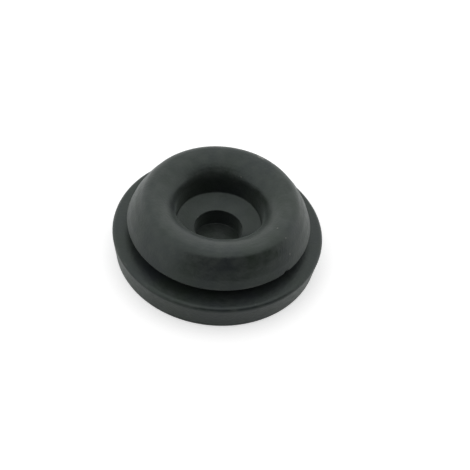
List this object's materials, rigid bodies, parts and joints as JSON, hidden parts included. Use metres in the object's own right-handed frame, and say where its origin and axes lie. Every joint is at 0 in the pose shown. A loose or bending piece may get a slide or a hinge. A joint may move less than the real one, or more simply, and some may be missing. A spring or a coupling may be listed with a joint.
{
  "type": "rubber gasket",
  "caption": "Round moulded rubber gasket with a thick flange, a narrow panel groove, a bell-shaped head with a rounded lip, a dished recess and a blind hole in its middle.",
  "frame": {"origin": "centre of the flange's flat underside, on the axis", "axes": "+Z along the axis, from the flange up to the lip; +X and +Y are free, the part is round"},
  "size_m": [0.025, 0.025, 0.0086],
  "materials": {
    "rubber": "matt moulded"
  },
  "bodies": {
    "root": {"gasket": "rubber"}
  },
  "joints": []
}
